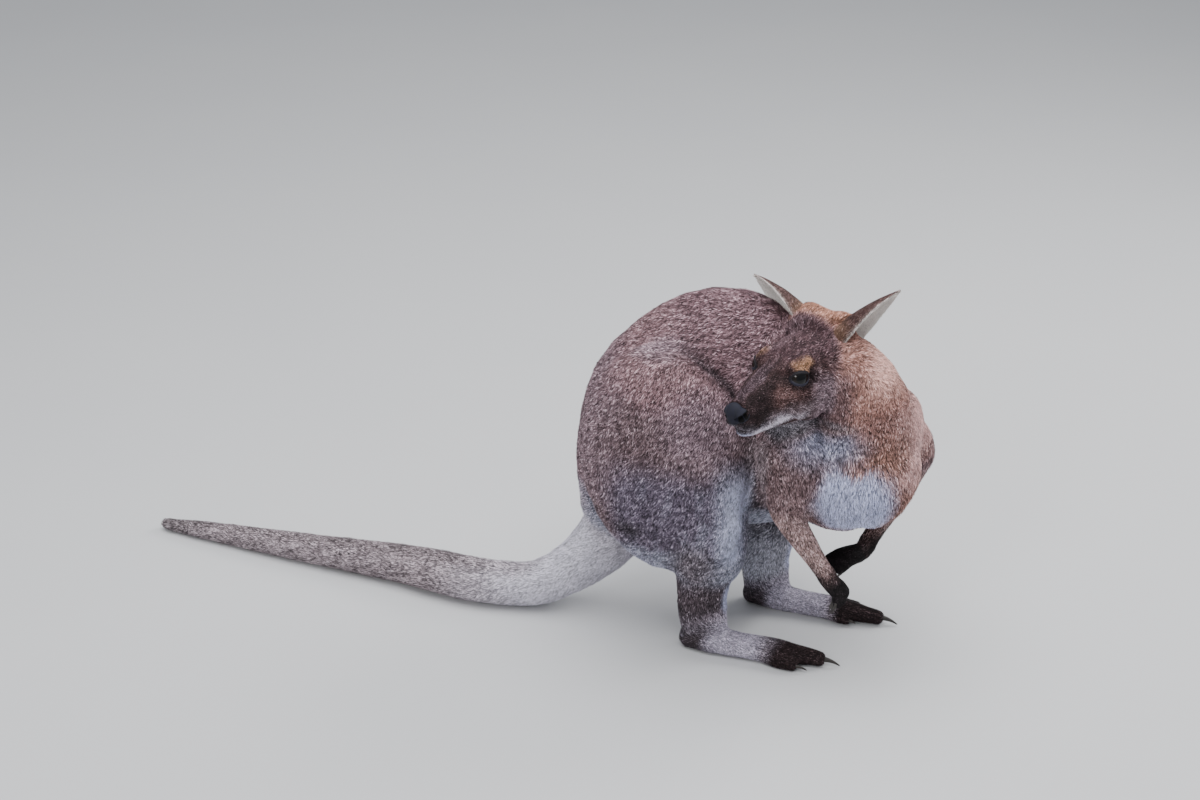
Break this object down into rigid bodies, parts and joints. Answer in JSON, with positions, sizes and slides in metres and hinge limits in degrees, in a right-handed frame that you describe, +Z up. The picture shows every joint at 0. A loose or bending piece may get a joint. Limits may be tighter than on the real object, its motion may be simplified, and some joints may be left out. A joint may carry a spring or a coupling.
{
  "type": "standing wallaby figure",
  "caption": "Life-size still figure of a wallaby on its hind feet, back arched, tail laid along the floor and head turned over its right shoulder.",
  "frame": {"origin": "centre of the bounding box in plan, at floor level under the soles", "axes": "+X the way the body faces and the toes point, +Y the animal's left, +Z up"},
  "size_m": [1.051, 0.2956, 0.515],
  "materials": {
    "grizzled_fur": "short dense guard hair, pale tips over a dark base",
    "rufous_fur": "short dense orange-brown hair",
    "pale_fur": "short pale grey hair",
    "dark_fur": "short blackish-brown hair",
    "nose_skin": "bare, moist, finely pebbled",
    "eye": "wet and glossy, opaque",
    "claw_horn": "smooth dark horn, stands in for keratin"
  },
  "bodies": {
    "root": {"head": "grizzled_fur", "neck": "rufous_fur", "trunk": "grizzled_fur", "tail_base": "pale_fur", "tail_middle": "pale_fur", "tail_tip": "pale_fur", "nose": "nose_skin", "upper_arm_r": "rufous_fur", "forearm_r": "grizzled_fur", "hand_r": "dark_fur", "thigh_r": "grizzled_fur", "shank_r": "grizzled_fur", "foot_r": "pale_fur", "ear_r": "rufous_fur", "eye_r": "eye", "claw_foot_fourth_r": "claw_horn", "claw_foot_fifth_r": "claw_horn", "claw_foot_joined_r": "claw_horn", "claw_hand_1_r": "claw_horn", "claw_hand_2_r": "claw_horn", "claw_hand_3_r": "claw_horn", "claw_hand_4_r": "claw_horn", "claw_hand_5_r": "claw_horn", "upper_arm_l": "rufous_fur", "forearm_l": "grizzled_fur", "hand_l": "dark_fur", "thigh_l": "grizzled_fur", "shank_l": "grizzled_fur", "foot_l": "pale_fur", "ear_l": "rufous_fur", "eye_l": "eye", "claw_foot_fourth_l": "claw_horn", "claw_foot_fifth_l": "claw_horn", "claw_foot_joined_l": "claw_horn", "claw_hand_1_l": "claw_horn", "claw_hand_2_l": "claw_horn", "claw_hand_3_l": "claw_horn", "claw_hand_4_l": "claw_horn", "claw_hand_5_l": "claw_horn"}
  },
  "joints": []
}
